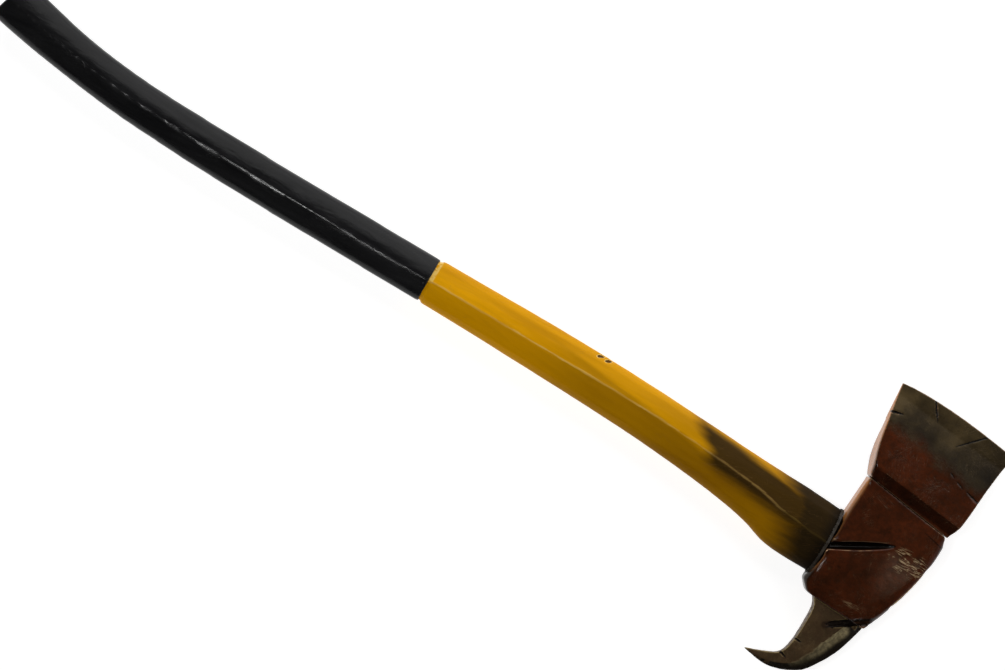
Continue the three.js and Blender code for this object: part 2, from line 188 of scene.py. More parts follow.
def dent(piece, texture, depth):
    # only ever inwards, so the piece keeps inside its solid
    applyModifier(piece, "DISPLACE", texture=texture, texture_coords="LOCAL",
                  mid_level=1.0, strength=depth * mm)


def cloudTexture(name, grainSize):
    texture = bpy.data.textures.new(name, "CLOUDS")
    texture.noise_scale = grainSize * mm
    texture.noise_depth = 2
    return texture


def readVectors(items, key):
    values = np.empty(len(items) * 3, dtype=np.float32)
    items.foreach_get(key, values)
    return values.reshape(-1, 3)


def writeMask(piece, name, values):
    mask = piece.data.attributes.new(name, "FLOAT", "POINT")
    mask.data.foreach_set("value", np.clip(values, 0.0, 1.0).astype(np.float32))


def markEdges(piece):
    # bend of the skin: a half where it is flat, more on an edge, less in a hollow
    gain = 1.6  # millimetres
    blurs = 2
    mesh = piece.data
    places, normals = readVectors(mesh.vertices, "co"), readVectors(mesh.vertex_normals, "vector")
    ends = np.empty(len(mesh.edges) * 2, dtype=np.int32)
    mesh.edges.foreach_get("vertices", ends)
    first, last = ends[0::2], ends[1::2]
    along = places[last] - places[first]
    square = np.maximum((along ** 2).sum(1), 1e-12)
    count = np.bincount(ends, minlength=len(places))
    bend = np.bincount(first, (along * normals[first]).sum(1) / square, len(places))
    bend -= np.bincount(last, (along * normals[last]).sum(1) / square, len(places))
    bend /= np.maximum(count, 1)
    for _ in range(blurs):
        around = np.bincount(first, bend[last], len(places))
        around += np.bincount(last, bend[first], len(places))
        bend = (bend + around) / (count + 1)
    writeMask(piece, "wear", 0.5 - bend * gain * mm)


def drawnPlaces(piece):
    # the vertices in the drawing's millimetres
    return (readVectors(piece.data.vertices, "co") - np.array(eyeCentre)) / mm


def lineDistance(places, start, end):
    # across the drawing to the nearest point of a line, and how far along it that point is
    along = np.array(end, dtype=float) - np.array(start)
    off = places[:, :2] - np.array(start)
    share = np.clip(off @ along / (along @ along), 0, 1)
    return np.linalg.norm(off - share[:, None] * along, axis=1), share


def markCuts(piece, node, shallow, deep, gashes=()):
    # dark where the skin lies deep under the CAD solid's, and inside the lips of each gash
    solid = nodes[node].data
    tree = BVHTree.FromPolygons([v.co for v in solid.vertices], [p.vertices for p in solid.polygons])
    depths = np.array([tree.find_nearest(v.co)[3] for v in piece.data.vertices]) / mm
    cuts = (depths - shallow) / (deep - shallow)
    places = drawnPlaces(piece)
    for start, end, side, halfWidth, *_ in gashes:
        distance, share = lineDistance(places, start, end)
        lip = halfWidth * np.sqrt(np.clip(1 - (2 * share - 1) ** 2, 0, 1))
        inside = (lip * 0.9 - distance) / 0.6 + 0.5
        cuts = np.maximum(cuts, np.where(places[:, 2] * side > 0, inside, 0))
    writeMask(piece, "cut", cuts)


def markScoop(piece, start, end, side, halfWidth, _):
    # the bruised band a wide scoop leaves
    places = drawnPlaces(piece)
    inside = halfWidth - lineDistance(places, start, end)[0]
    writeMask(piece, "scoop", np.where(places[:, 2] * side > 0, inside / 1.5, 0))


def markRidges(piece, ridges, reachOut):
    # 1 on a ridge of the handle, falling to 0 this far off it
    places = readVectors(piece.data.vertices, "co") / mm
    nearest = np.full(len(places), reachOut)
    for start, end in ridges:
        along = end - start
        share = np.clip((places - start) @ along / (along @ along), 0, 1)
        nearest = np.minimum(nearest, np.linalg.norm(places - start - share[:, None] * along, axis=1))
    writeMask(piece, "ridge", 1 - nearest / reachOut)


def findRidges(piece, leastHeight, leastAngle):
    # the lengthwise edges between two flats that stand this high on either side, in millimetres
    facing = {}
    for polygon in piece.data.polygons:
        for key in polygon.edge_keys:
            facing.setdefault(key, []).append(polygon.normal)
    ridges = []
    for (first, last), normals in facing.items():
        ends = [piece.data.vertices[first].co, piece.data.vertices[last].co]
        lengthwise = abs((ends[1] - ends[0]).normalized().x) > 0.9
        high = all(abs(end.z - eyeCentre.z) > leastHeight * mm for end in ends)
        if high and lengthwise and len(normals) == 2 and normals[0].angle(normals[1]) > leastAngle:
            ridges.append([np.array(end) / mm for end in ends])
    return ridges


def markFacing(piece, name, direction, least, most):
    # 0 to 1 as the skin turns towards a direction
    normals = readVectors(piece.data.vertex_normals, "vector")
    towards = normals @ np.array(Vector(direction).normalized())
    writeMask(piece, name, (towards - least) / (most - least))


def finish(piece, node):
    for polygon in piece.data.polygons:
        polygon.use_smooth = True
    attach(piece, "root")
    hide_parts(node)


# The body of the head, round the eye.

rim = (-31, 63.5), (47.5, 51.5)  # where the bit stands on the body
foot = (27, -48), (-29, -44.8)  # where the pick leaves it

eyeBody = {
    "voxel": 0.75,
    "passes": 6,
    "gashes": [  # start, end, side, half width, depth and, where it isn't the skin's, level
        ((-46, -9.5), (14, 24.2), 1, 3.5, 5.6, 15.8),
        ((-44, -8), (10, 22), -1, 2.6, 5.2, 15.8),
        ((6, -53), (39, -30.5), 1, 1.0, 3.0),
        ((3, -59.5), (36, -37), 1, 1.1, 3.2),
        ((30, 46), (56, 40), 1, 0.4, 0.6),
        ((-18, 50), (-2, 33), -1, 0.6, 0.9),
        ((34, 6), (20, -14), -1, 0.7, 1.0),
    ],
    "slot": ((-34, -2.5), (10, 22)),
    "scoop": ((2, -58), (40, -32), 1, 4.0, 2.0),  # wide and shallow, left unpainted
    "scoopSeed": 15,
    "cheekSoftening": 160,
    "bulgeAt": (12, -9),
    "bulge": 0.7,
    "bulgeReach": 30,
    "softCorners": [((-36, -38), 13, 30), ((52, 46), 9, 20)],  # place, radius, passes
    "dentDepth": 0.3,
    "cutDepths": (1.6, 2.8),  # below the solid's skin: the mask's 0 and 1
}

smallDents = cloudTexture("smallDents", 9)
wideDents = cloudTexture("wideDents", 26)


def makeEyeBody():
    piece = workCopy("eye_body", "axeBody")
    for number, (start, end, side, halfWidth, depth, *level) in enumerate(eyeBody["gashes"]):
        cutGash(piece, start, end, side, halfWidth, depth, number, *level)
    cutGash(piece, *eyeBody["scoop"], eyeBody["scoopSeed"])
    refine(piece, eyeBody["voxel"], eyeBody["passes"])
    for side in (1, -1):
        swell(piece, at(*eyeBody["bulgeAt"]), side, eyeBody["bulge"], eyeBody["bulgeReach"])
    soften(piece, onCheek, eyeBody["cheekSoftening"])
    for corner in eyeBody["softCorners"]:
        softenCorner(piece, *corner)
    dent(piece, wideDents, eyeBody["dentDepth"])
    markEdges(piece)
    markCuts(piece, "eye_body", *eyeBody["cutDepths"], eyeBody["gashes"])
    markScoop(piece, *eyeBody["scoop"])
    # facing mask for the painted highlight on the flank that faces the handle
    markFacing(piece, "flank", (-1, -0.45, 0), 0.4, 0.8)
    finish(piece, "eye_body")
    return piece


def onCheek(co):
    # the cheeks, but not the lips of the big cut nor the seams to the bit and the pick
    beside = besideLine(co, *eyeBody["slot"])
    return (abs(co.z - eyeCentre.z) > 6 * mm and (abs(beside) > 5.5 or co.x > at(15, 0).x)
            and besideLine(co, *rim) < -2.5 and besideLine(co, *foot) < -5)


# The bit, the cutting half of the head.

cuttingBit = {
    "voxel": 0.58,
    "passes": 3,
    "gashes": [
        ((-17, 149), (-4, 129.5), 1, 0.75, 1.7),
        ((41, 143), (18, 120), 1, 0.85, 1.5),
        ((-48, 117.5), (-32.5, 121.5), 1, 1.0, 1.6),
        ((42, 92.5), (62, 87), 1, 0.7, 1.2),
        ((24, 99.5), (29, 97), 1, 0.5, 0.6),
        ((32, 95.5), (40, 92.5), 1, 0.5, 0.6),
        ((8, 149), (1, 127), -1, 0.8, 1.5),
        ((-34, 138), (-19, 117), -1, 0.7, 1.1),
        ((50, 112), (29, 103), -1, 0.6, 0.9),
    ],
    "firstSeed": 20,
    "handleFlank": (-31, 112, 45),  # x, top, smoothing passes
    "crownFlank": (51, 104, 15),
    "flankFoot": 60,
    "softCorner": ((-32, 68), 10, 50),
    "dentDepth": 0.35,
    "cutDepths": (0.6, 1.2),
}


def onBitShoulder(co):
    # the face that stands on the body, but not the tenon
    clearOfTenon = abs(co.z - eyeCentre.z) > 4.2 * mm or not at(-28.5, 0).x < co.x < at(45, 0).x
    return 0.1 < besideLine(co, *rim) < 0.5 and clearOfTenon


def makeBit():
    piece = workCopy("bit", "axeBit")
    reach(piece, onBitShoulder, (0, -0.7, 0))
    for number, (start, end, side, halfWidth, depth) in enumerate(cuttingBit["gashes"]):
        cutGash(piece, start, end, side, halfWidth, depth, number + cuttingBit["firstSeed"])
    refine(piece, cuttingBit["voxel"], cuttingBit["passes"])
    lowest = at(0, cuttingBit["flankFoot"]).y
    for flank, outward in (("handleFlank", -1), ("crownFlank", 1)):
        *corner, passes = cuttingBit[flank]
        edge = at(*corner)
        soften(piece, lambda co: (co.x - edge.x) * outward > 0 and lowest < co.y < edge.y, passes)
    softenCorner(piece, *cuttingBit["softCorner"])
    dent(piece, wideDents, cuttingBit["dentDepth"])
    markEdges(piece)
    markCuts(piece, "bit", *cuttingBit["cutDepths"], cuttingBit["gashes"])
    # facing mask for the painted highlight on the flank that faces the handle
    markFacing(piece, "flank", (-1, -0.2, 0), 0.5, 0.9)
    # facing mask for the painted shade on the step under the bit
    markFacing(piece, "under", (0, -1, 0), 0.25, 0.5)
    finish(piece, "bit")
    return piece


# The pick.

hookPick = {
    "voxel": 0.5,
    "passes": 3,
    "bevelRounding": 30,
    "lipWidth": 9,
    "bevelLine": [(14, -58), (9, -68), (5, -78), (2.5, -83), (-0.5, -88), (-4.5, -93), (-9, -98)],
    "scoop": ((-2, -60.6), (40, -32), 1, 3.8, 1.6),
    "gashes": [
        ((-1, -57.8), (39, -30.5), 1, 1.0, 2.4),
        ((-1, -62.2), (36, -37), 1, 1.1, 2.6),
        ((-19, -82.5), (-11, -83), 1, 0.8, 1.4),
        ((-25, -97), (-15, -100.5), 1, 0.8, 1.4),
        ((0, -60), (22, -66), -1, 1.0, 1.5),
        ((-20, -90), (-8, -94), -1, 0.7, 1.1),
    ],
    "firstSeed": 40,
    "scoopSeed": 55,
    "dentDepth": 0.5,
    "cutDepths": (0.9, 1.6),
}


def makePick():
    piece = workCopy("pick", "axePick")
    reach(piece, lambda co: 0.1 < besideLine(co, *foot) < 0.5, (0, 0.7, 0))
    for number, (start, end, side, halfWidth, depth) in enumerate(hookPick["gashes"]):
        cutGash(piece, start, end, side, halfWidth, depth, number + hookPick["firstSeed"])
    cutGash(piece, *hookPick["scoop"], hookPick["scoopSeed"])
    refine(piece, hookPick["voxel"], hookPick["passes"])
    soften(piece, nearBevel, hookPick["bevelRounding"])
    dent(piece, smallDents, hookPick["dentDepth"])
    markEdges(piece)
    markCuts(piece, "pick", *hookPick["cutDepths"], hookPick["gashes"])
    markScoop(piece, *hookPick["scoop"])
    # mask for the painted highlight along the line where the bevel starts
    line = hookPick["bevelLine"]
    places = drawnPlaces(piece)
    nearest = np.min([lineDistance(places, *ends)[0] for ends in zip(line, line[1:])], axis=0)
    writeMask(piece, "lip", 1 - nearest / hookPick["lipWidth"])
    # facing mask for the painted shade on the bevel
    markFacing(piece, "back", (0.8, -0.6, 0), 0.06, 0.3)
    finish(piece, "pick")
    return piece


def nearBevel(co):
    # a strip along the line where the flat of the pick turns into its bevel
    if abs(co.z - eyeCentre.z) < 1.5 * mm:
        return False
    return any(hypotXY(co, at(*spot)) < 4 * mm for spot in hookPick["bevelLine"])


# The handle.

haft = {
    "voxel": 1.2,
    "passes": 3,
    "chips": [  # start, end, half width, depth; each end is a point in space
        ((-276, 36, 8), (-266, 43.5, 0), 2.2, 3.2),
        ((-268, 35.5, 8), (-259, 42.5, 0), 1.9, 2.8),
        ((-75, 32.5, 5), (-70, 23, 10.5), 1.5, 2.2),
        ((-100, 33, 2), (-94, 30, 6), 1.5, 2.0),
        ((-212, 37, -7), (-194, 40, -1), 1.8, 2.4),
        ((-150, -13, -7), (-136, -15.5, -1), 1.8, 2.4),
        ((-330, -2, 5), (-316, -4, 1), 1.4, 1.8),
    ],
    "firstSeed": 60,
    "dentDepth": 0.35,
    "cutDepths": (0.75, 1.2),
    "ridgeHeight": 12.0,
    "ridgeAngle": 0.1,
    "ridgeReach": 3.0,
}


def makeHandle():
    piece = workCopy("handle", "axeHandle")
    ridges = findRidges(piece, haft["ridgeHeight"], haft["ridgeAngle"])
    for number, (start, end, halfWidth, depth) in enumerate(haft["chips"]):
        first, last = at(*start), at(*end)
        outward = (first + last) / 2 - at((start[0] + end[0]) / 2, 20)
        cutAway(piece, gashTool(first, last, outward, halfWidth, depth, number + haft["firstSeed"]))
    refine(piece, haft["voxel"], haft["passes"])
    dent(piece, wideDents, haft["dentDepth"])
    markEdges(piece)
    markCuts(piece, "handle", *haft["cutDepths"])
    # mask for the painted highlight along each ridge
    markRidges(piece, ridges, haft["ridgeReach"])
    finish(piece, "handle")
    return piece


# The rubber grip.

grip = {"voxel": 1.2, "passes": 26, "dentDepth": 0.4}


def makeGrip():
    piece = workCopy("grip_sleeve", "axeGrip")
    refine(piece, grip["voxel"], grip["passes"])
    dent(piece, wideDents, grip["dentDepth"])
    markEdges(piece)
    finish(piece, "grip_sleeve")
    return piece


# The seal between the handle and the head.

seal = {"voxel": 0.4, "passes": 6, "lumpSize": 3.5, "dentDepth": 0.9}


def makeSeal():
    piece = workCopy("seal_bead", "sealLine")
    refine(piece, seal["voxel"], seal["passes"])
    dent(piece, cloudTexture("sealLumps", seal["lumpSize"]), seal["dentDepth"])
    markEdges(piece)
    finish(piece, "seal_bead")
    return piece


# Shader helpers.

def addNode(tree, kind, inputs=None, **values):
    node = tree.nodes.new(kind)
    for key, value in values.items():
        setattr(node, key, value)
    for key, value in (inputs or {}).items():
        if isinstance(value, bpy.types.NodeSocket):
            tree.links.new(value, node.inputs[key])
        else:
            node.inputs[key].default_value = value
    return node


def maths(tree, operation, first, second=0.0, third=0.0, clamp=False):
    inputs = {0: first, 1: second, 2: third}
    return addNode(tree, "ShaderNodeMath", inputs, operation=operation, use_clamp=clamp).outputs[0]


def times(tree, first, second):
    return maths(tree, "MULTIPLY", first, second)


def plus(tree, first, second):
    return maths(tree, "ADD", first, second)


def minus(tree, first, second):
    return maths(tree, "SUBTRACT", first, second)


def timesPlus(tree, first, factor, added, clamp=False):
    return maths(tree, "MULTIPLY_ADD", first, factor, added, clamp)


def larger(tree, first, second):
    return maths(tree, "MAXIMUM", first, second)


def magnitude(tree, value):
    return maths(tree, "ABSOLUTE", value)


def ramp(tree, value, low, high, outLow=0.0, outHigh=1.0):
    # a soft step between two values
    inputs = {"Value": value, "From Min": low, "From Max": high, "To Min": outLow, "To Max": outHigh}
    node = addNode(tree, "ShaderNodeMapRange", inputs, interpolation_type="SMOOTHSTEP")
    return node.outputs["Result"]


def spread(tree, mask, least, most):
    return ramp(tree, mask, 0.0, 1.0, least, most)


def blend(tree, factor, first, second):
    # from the first colour to the second
    node = tree.nodes.new("ShaderNodeMix")
    node.data_type = "RGBA"
    for socket, value in (("Factor_Float", factor), ("A_Color", first), ("B_Color", second)):
        target = next(s for s in node.inputs if s.identifier == socket)
        if isinstance(value, bpy.types.NodeSocket):
            tree.links.new(value, target)
        else:
            target.default_value = value
    return next(s for s in node.outputs if s.identifier == "Result_Color")


def noise(tree, vector, scale, detail=4.0, roughness=0.55, distortion=0.0):
    inputs = {"Vector": vector, "Scale": scale, "Detail": detail, "Roughness": roughness,
              "Distortion": distortion}
    return addNode(tree, "ShaderNodeTexNoise", inputs).outputs["Fac"]


def sway(tree, *settings):
    # noise round nought
    return minus(tree, noise(tree, *settings), 0.5)


def mapped(tree, vector, location=(0, 0, 0), rotation=(0, 0, 0), scale=(1, 1, 1)):
    inputs = {"Vector": vector, "Location": location, "Rotation": rotation, "Scale": scale}
    return addNode(tree, "ShaderNodeMapping", inputs).outputs["Vector"]


def newGroup(name, inputs, outputs):
    tree = bpy.data.node_groups.new(name, "ShaderNodeTree")
    for label, kind, value in inputs:
        socket = tree.interface.new_socket(label, in_out="INPUT", socket_type=kind)
        if value is not None:
            socket.default_value = value
    for label, kind in outputs:
        tree.interface.new_socket(label, in_out="OUTPUT", socket_type=kind)
    start = tree.nodes.new("NodeGroupInput")
    end = tree.nodes.new("NodeGroupOutput")
    return tree, start.outputs, end.inputs


def useGroup(tree, group, **inputs):
    node = tree.nodes.new("ShaderNodeGroup")
    node.node_tree = group
    for key, value in inputs.items():
        if isinstance(value, bpy.types.NodeSocket):
            tree.links.new(value, node.inputs[key])
        else:
            node.inputs[key].default_value = value
    return node.outputs


floatIn, vectorIn = "NodeSocketFloat", "NodeSocketVector"


def makeMottle():
    # patches and fine grain, 0 to 1
    inputs = [("Vector", vectorIn, None), ("Scale", floatIn, 40.0), ("Contrast", floatIn, 0.5)]
    tree, start, end = newGroup("mottle", inputs, [("Patches", floatIn), ("Grain", floatIn)])
    wide = noise(tree, start["Vector"], start["Scale"], 5, 0.6, 0.6)
    fine = noise(tree, start["Vector"], times(tree, start["Scale"], 7.0), 4, 0.65)
    half = times(tree, start["Contrast"], 0.25)
    low, high = minus(tree, 0.5, half), plus(tree, 0.5, half)
    node = addNode(tree, "ShaderNodeMapRange", {"Value": wide, "From Min": low, "From Max": high})
    tree.links.new(node.outputs["Result"], end["Patches"])
    tree.links.new(ramp(tree, fine, 0.35, 0.65), end["Grain"])
    return tree


def makeScratches():
    # hair lines in a few directions, broken up in patches
    inputs = [("Vector", vectorIn, None), ("Scale", floatIn, 60.0), ("Amount", floatIn, 0.5)]
    tree, start, end = newGroup("hairScratches", inputs, [("Lines", floatIn)])
    # turn, stretch and shift of each direction
    directions = (0.35, 0.045, 0.3), (1.25, 0.06, 1.7), (-0.7, 0.05, 2.9), (2.3, 0.08, 4.1)
    total = None
    for number, (turn, stretch, shift) in enumerate(directions):
        turned = mapped(tree, start["Vector"], (shift, shift * 0.7, 0), (0, 0, turn))
        stretched = mapped(tree, turned, scale=(stretch, 1.0, 0.35))
        lines = noise(tree, stretched, times(tree, start["Scale"], 12.0 + 3 * number), 1.0, 0.4)
        thin = ramp(tree, magnitude(tree, minus(tree, lines, 0.5)), 0.0, 0.012, 1.0, 0.0)
        gate = ramp(tree, noise(tree, turned, times(tree, start["Scale"], 0.55), 2.0), 0.57, 0.66)
        line = times(tree, thin, gate)
        total = line if total is None else larger(tree, total, line)
    tree.links.new(times(tree, total, start["Amount"]), end["Lines"])
    return tree


def makeEdgeMasks():
    # from the wear attribute: rubbed edges and darkened hollows, both broken up
    inputs = [("Vector", vectorIn, None), ("Wear", floatIn, 0.5), ("Edge", floatIn, 0.62),
              ("Hollow", floatIn, 0.42), ("Break", floatIn, 90.0)]
    tree, start, end = newGroup("edgeMasks", inputs, [("Rubbed", floatIn), ("Hollows", floatIn)])
    broken = times(tree, sway(tree, start["Vector"], start["Break"], 5, 0.6), 0.28)
    shifted = plus(tree, start["Wear"], broken)
    rubbed = ramp(tree, minus(tree, shifted, start["Edge"]), 0.0, 0.08)
    hollows = ramp(tree, minus(tree, start["Hollow"], shifted), 0.0, 0.1)
    tree.links.new(rubbed, end["Rubbed"])
    tree.links.new(hollows, end["Hollows"])
    return tree


mottle = makeMottle()
hairScratches = makeScratches()
edgeMasks = makeEdgeMasks()


def srgb(red, green, blue):
    def linear(value):
        value /= 255
        return value / 12.92 if value <= 0.04045 else ((value + 0.055) / 1.055) ** 2.4
    return (linear(red), linear(green), linear(blue), 1.0)


def startMaterial(name):
    material = bpy.data.materials.new(name)
    material.use_nodes = True
    tree = material.node_tree
    tree.nodes.clear()
    output = tree.nodes.new("ShaderNodeOutputMaterial")
    surface = tree.nodes.new("ShaderNodeBsdfPrincipled")
    tree.links.new(surface.outputs["BSDF"], output.inputs["Surface"])
    place = tree.nodes.new("ShaderNodeTexCoord").outputs["Object"]
    return material, tree, surface, place


def designPlace(tree, place):
    # object coordinates turned to millimetres from the middle of the eye
    return mapped(tree, place, tuple(-c / mm for c in eyeCentre), (0, 0, 0), (1 / mm, 1 / mm, 1 / mm))


def designAxes(tree, place):
    return addNode(tree, "ShaderNodeSeparateXYZ", {"Vector": designPlace(tree, place)}).outputs


def attribute(tree, name):
    node = addNode(tree, "ShaderNodeAttribute", attribute_name=name, attribute_type="GEOMETRY")
    return node.outputs["Fac"]


def bump(tree, height, strength, distance):
    inputs = {"Height": height, "Strength": strength, "Distance": distance}
    return addNode(tree, "ShaderNodeBump", inputs).outputs["Normal"]


def edgeWear(tree, place, edge, hollow, breakUp):
    wear = attribute(tree, "wear")
    return useGroup(tree, edgeMasks, Vector=place, Wear=wear, Edge=edge, Hollow=hollow, Break=breakUp)


def hairLines(tree, vector, scale, amount):
    return useGroup(tree, hairScratches, Vector=vector, Scale=scale, Amount=amount)["Lines"]


def join(tree, socket, target):
    tree.links.new(socket, target)


headFinish = {
    "paintDark": srgb(56, 28, 15),
    "paintLight": srgb(93, 43, 22),
    "paintGrain": srgb(36, 24, 14),
    "paintGrime": srgb(30, 20, 12),
    "rubbed": srgb(150, 118, 88),
    # painted highlight on the flank that faces the handle
    "flankHighlight": srgb(192, 126, 66),
    "hollow": srgb(14, 9, 6),
    "lugSide": srgb(40, 27, 12),
    "lugCut": srgb(30, 20, 13),
    "lugTop": (-30.0, -20.0),  # the flank and the cuts change colour between these
    "bruise": srgb(50, 34, 23),
    # painted highlight: pale glints streaked over the body's cheek
    "glint": srgb(200, 172, 130),
    "glints": [  # centre, half length, half width, strength
        (31, 17, 21, 12, 0.8),
        (9, -35.5, 11, 3.2, 0.3),
    ],
    "patinaDark": srgb(57, 46, 28),
    "patinaLight": srgb(102, 85, 55),
    "patinaLine": 97.0,  # where the paint of the bit ends
    "patinaFade": 16.0,
    "patinaSway": 34.0,
    "dirtLine": (-31.0, -25.0),
    "scratch": srgb(150, 128, 100),
    "mottleScale": 38.0,
    "roughness": (0.07, 0.15),
    "patinaRoughness": 0.22,
    "specular": 0.2,
    "relief": (0.2, 0.0005),  # strength, and depth in metres
}


def paintedHead(tree, place, patches):
    colour = blend(tree, patches["Patches"], headFinish["paintDark"], headFinish["paintLight"])
    colour = blend(tree, times(tree, patches["Grain"], 0.35), colour, headFinish["paintGrain"])
    grime = ramp(tree, noise(tree, place, 75.0, 6, 0.7), 0.52, 0.68)
    return blend(tree, times(tree, grime, 0.5), colour, headFinish["paintGrime"])


def bareHead(tree, axes, patches, cloud):
    dark, light = headFinish["patinaDark"], headFinish["patinaLight"]
    colour = blend(tree, ramp(tree, cloud, 0.35, 0.7), dark, light)
    colour = blend(tree, times(tree, patches["Grain"], 0.2), colour, dark)
    # darker on the crown's side
    fading = ramp(tree, axes["Y"], 112.0, 135.0, 0.45, 0.15)
    shade = times(tree, ramp(tree, axes["X"], -5.0, 45.0), fading)
    return blend(tree, shade, colour, headFinish["hollow"])


def paintCheekGlints(tree, place, axes, colour):
    # painted highlight: bright glinting streaks by the crown and low over the pick, on the upper cheek
    # only
    streakPlace = mapped(tree, place, rotation=(0, 0, -0.1), scale=(0.1, 1.0, 1.0))
    streaks = magnitude(tree, sway(tree, streakPlace, 480.0, 2, 0.5))
    broken = ramp(tree, noise(tree, place, 110.0, 3, 0.6), 0.4, 0.54)
    streaks = times(tree, ramp(tree, streaks, 0.0, 0.05, 1.0, 0.0), broken)
    streaks = times(tree, streaks, ramp(tree, axes["Z"], 0.0, 4.0))
    for centreX, centreY, halfLength, halfWidth, strength in headFinish["glints"]:
        offX = timesPlus(tree, axes["X"], 1 / halfLength, -centreX / halfLength)
        offY = timesPlus(tree, axes["Y"], 1 / halfWidth, -centreY / halfWidth)
        off = plus(tree, times(tree, offX, offX), times(tree, offY, offY))
        glint = times(tree, ramp(tree, off, 0.25, 1.1, strength, 0.0), streaks)
        colour = blend(tree, glint, colour, headFinish["glint"])
    return colour


def makeHeadMaterial(name, isBit):
    look = headFinish
    material, tree, surface, place = startMaterial(name)
    axes = designAxes(tree, place)
    patches = useGroup(tree, mottle, Vector=place, Scale=look["mottleScale"], Contrast=0.9)
    edges = edgeWear(tree, place, 0.7, 0.34, 120.0)
    lines = hairLines(tree, place, 55.0, 0.55)
    cloud = noise(tree, place, 26.0, 5, 0.6)
    bare = bareHead(tree, axes, patches, cloud)
    if isBit:
        # painted up to a wavering line, then bare steel, darkest where it starts
        line = look["patinaLine"]
        up = timesPlus(tree, axes["X"], 0.12, axes["Y"])
        up = timesPlus(tree, minus(tree, cloud, 0.5), look["patinaSway"], up)
        patina = ramp(tree, up, line, line + look["patinaFade"])
        bare = blend(tree, ramp(tree, up, line + 12, line + 30, 0.55, 0.0), bare, look["hollow"])
        # painted shade on the step under the bit, which faces away from the light
        dirtAndShade = times(tree, attribute(tree, "under"), 0.5)
    else:
        # bare in a few patches, with dirt packed in along the handle
        patina = ramp(tree, cloud, 0.66, 0.74)
        dirtAndShade = ramp(tree, timesPlus(tree, cloud, 8.0, axes["X"]), *look["dirtLine"], 0.9, 0.0)
    colour = blend(tree, patina, paintedHead(tree, place, patches), bare)
    colour = blend(tree, dirtAndShade, colour, look["hollow"])
    # painted highlight on the flank that faces the handle, and dark on the lug
    overLug = ramp(tree, axes["Y"], *look["lugTop"])
    inward = ramp(tree, magnitude(tree, axes["Z"]), 4.0, 12.0, 0.95, 0.3)
    side = times(tree, attribute(tree, "flank"), inward)
    colour = blend(tree, side, colour, blend(tree, overLug, look["lugSide"], look["flankHighlight"]))
    colour = blend(tree, times(tree, lines, 0.5), colour, look["scratch"])
    colour = blend(tree, times(tree, edges["Rubbed"], 0.6), colour, look["rubbed"])
    colour = blend(tree, edges["Hollows"], colour, look["hollow"])
    if not isBit:
        colour = paintCheekGlints(tree, place, axes, colour)
        colour = blend(tree, times(tree, attribute(tree, "scoop"), 0.8), colour, look["bruise"])
    inCut = blend(tree, overLug, look["lugCut"], look["hollow"])
    colour = blend(tree, attribute(tree, "cut"), colour, inCut)
    join(tree, colour, surface.inputs["Base Color"])
    metal = larger(tree, times(tree, patina, 0.2), times(tree, edges["Rubbed"], 0.4))
    join(tree, metal, surface.inputs["Metallic"])
    # fine streaks polished into the cheeks of the body, short and faint on the bit
    along, streakHeight = (0.7, 0.3) if isBit else (0.12, 0.9)
    polish = mapped(tree, place, rotation=(0, 0, -0.12), scale=(along, 1.0, 1.0))
    gloss = noise(tree, polish, 620.0, 4, 0.6)
    rough = ramp(tree, gloss, 0.3, 0.7, *look["roughness"])
    rough = timesPlus(tree, ramp(tree, patches["Grain"], 0.0, 1.0), 0.06, rough)
    rough = timesPlus(tree, patina, look["patinaRoughness"], rough)
    join(tree, rough, surface.inputs["Roughness"])
    height = timesPlus(tree, lines, -0.8, noise(tree, place, 420.0, 5, 0.65))
    height = timesPlus(tree, gloss, streakHeight, height)
    join(tree, bump(tree, height, *look["relief"]), surface.inputs["Normal"])
    surface.inputs["Specular IOR Level"].default_value = look["specular"]
    return material


pickFinish = {
    "dark": srgb(57, 45, 29),
    "light": srgb(114, 91, 63),
    "brown": srgb(70, 46, 27),
    "rubbed": srgb(158, 138, 94),
    # painted shade on the bevel, and a painted highlight where it starts
    "bevel": srgb(20, 16, 10),
    "lip": srgb(178, 162, 122),
    "hollow": srgb(14, 10, 7),
    "cut": srgb(26, 18, 12),
    "metallic": (0.2, 0.5),
    "roughness": (0.34, 0.58),
    "specular": 0.18,
    "relief": (0.3, 0.0006),
}


